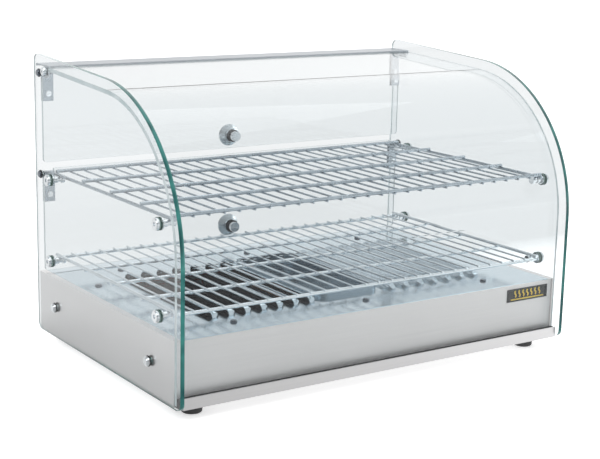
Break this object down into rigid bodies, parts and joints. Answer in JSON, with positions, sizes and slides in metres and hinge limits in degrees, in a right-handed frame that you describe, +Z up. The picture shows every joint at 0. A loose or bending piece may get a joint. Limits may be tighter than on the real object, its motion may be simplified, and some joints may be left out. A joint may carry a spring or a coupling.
{
  "type": "heated food display case",
  "caption": "Countertop heated display case: steel base with louvred deck, bent front glass, wire shelves and top-hung glass rear doors.",
  "frame": {"origin": "centre of the footprint on the surface that the feet stand on", "axes": "+X to the case's right seen from the front, +Y towards the rear doors, +Z up"},
  "size_m": [0.5548, 0.361, 0.3555],
  "materials": {
    "clear_glass": "clear tempered glass with polished green edges",
    "black_rubber": "matte black rubber",
    "brushed_steel": "fine brushed stainless steel",
    "deck_steel": "bright, nearly mirror-finished stainless sheet",
    "plain_steel": "plain zinc-plated steel",
    "polished_steel": "polished stainless steel",
    "clamp_steel": "satin stainless steel",
    "dark_screws": "dark bright screw heads",
    "chrome_wire": "bright chromed wire",
    "clear_washer": "translucent green-tinted plastic",
    "black_nylon": "black nylon",
    "black_plastic": "black moulded plastic",
    "red_plastic": "translucent red moulded plastic",
    "amber_lens": "amber moulded lens",
    "element_sheath": "heat-tinted steel sheath",
    "shield_aluminium": "plain aluminium sheet",
    "thermostat_metal": "passivated steel",
    "copper_tube": "drawn copper",
    "terminal_ceramic": "glazed cream ceramic",
    "wire_insulation": "silicone wire insulation",
    "badge_black": "black printed plate"
  },
  "bodies": {
    "cabinet": {"left_side_glass": "clear_glass", "right_side_glass": "clear_glass", "curved_front_glass": "clear_glass", "front_glass_seal": "black_rubber", "top_rear_bar": "brushed_steel", "bar_screws": "polished_steel", "bar_nuts": "plain_steel", "bottom_pan": "brushed_steel", "fascia_panel": "brushed_steel", "left_base_side": "brushed_steel", "right_base_side": "brushed_steel", "rear_panel": "brushed_steel", "deck_plate": "deck_steel", "deck_rails": "plain_steel", "deck_screws": "dark_screws", "base_side_screws": "polished_steel", "base_side_washers": "black_rubber", "base_side_nuts": "plain_steel", "feet": "black_rubber", "foot_screws": "plain_steel", "foot_nuts": "plain_steel", "shelf_studs": "polished_steel", "shelf_stud_screws": "polished_steel", "shelf_stud_washers": "clear_washer", "hinge_pins": "polished_steel", "hinge_bushes": "black_nylon", "heating_elements": "element_sheath", "element_brackets": "plain_steel", "heat_shield": "shield_aluminium", "thermostat_body": "thermostat_metal", "thermostat_bulb": "copper_tube", "switch_housing": "black_plastic", "pilot_lamp": "amber_lens", "terminal_block": "terminal_ceramic", "cable_gland": "black_nylon", "internal_wiring": "wire_insulation", "badge": "badge_black"},
    "upper_door": {"upper_door": "clear_glass", "upper_door_clamps": "clamp_steel", "upper_door_clamp_screws": "polished_steel", "upper_door_knob": "polished_steel", "upper_door_knob_washers": "black_rubber", "upper_door_knob_screw": "polished_steel"},
    "lower_door": {"lower_door": "clear_glass", "lower_door_clamps": "clamp_steel", "lower_door_clamp_screws": "polished_steel", "lower_door_knob": "polished_steel", "lower_door_knob_washers": "black_rubber", "lower_door_knob_screw": "polished_steel"},
    "upper_shelf": {"upper_shelf": "chrome_wire"},
    "lower_shelf": {"lower_shelf": "chrome_wire"},
    "water_tray": {"water_tray": "deck_steel"},
    "thermostat_knob": {"thermostat_shaft": "plain_steel", "thermostat_knob": "black_plastic"},
    "switch_rocker": {"switch_rocker": "red_plastic"}
  },
  "joints": [
    {"name": "upper_door_hinge", "type": "hinge", "parent": "cabinet", "child": "upper_door", "pos_m": [0, 0.1645, 0.3335], "axis": [1, 0, 0], "range_deg": [0, 90]},
    {"name": "lower_door_hinge", "type": "hinge", "parent": "cabinet", "child": "lower_door", "pos_m": [0, 0.1645, 0.211], "axis": [1, 0, 0], "range_deg": [0, 90]},
    {"name": "upper_shelf_lift", "type": "slide", "parent": "cabinet", "child": "upper_shelf", "axis": [0, 0, 1], "range_m": [0, 0.012]},
    {"name": "lower_shelf_lift", "type": "slide", "parent": "cabinet", "child": "lower_shelf", "axis": [0, 0, 1], "range_m": [0, 0.012]},
    {"name": "water_tray_lift", "type": "slide", "parent": "cabinet", "child": "water_tray", "axis": [0, 0, 1], "range_m": [0, 0.012]},
    {"name": "thermostat_turn", "type": "hinge", "parent": "cabinet", "child": "thermostat_knob", "pos_m": [0.15, 0.1745, 0.051], "axis": [0, -1, 0], "range_deg": [0, 270]},
    {"name": "switch_press", "type": "hinge", "parent": "cabinet", "child": "switch_rocker", "pos_m": [0.06, 0.156, 0.051], "axis": [1, 0, 0], "range_deg": [-16, 0]}
  ]
}
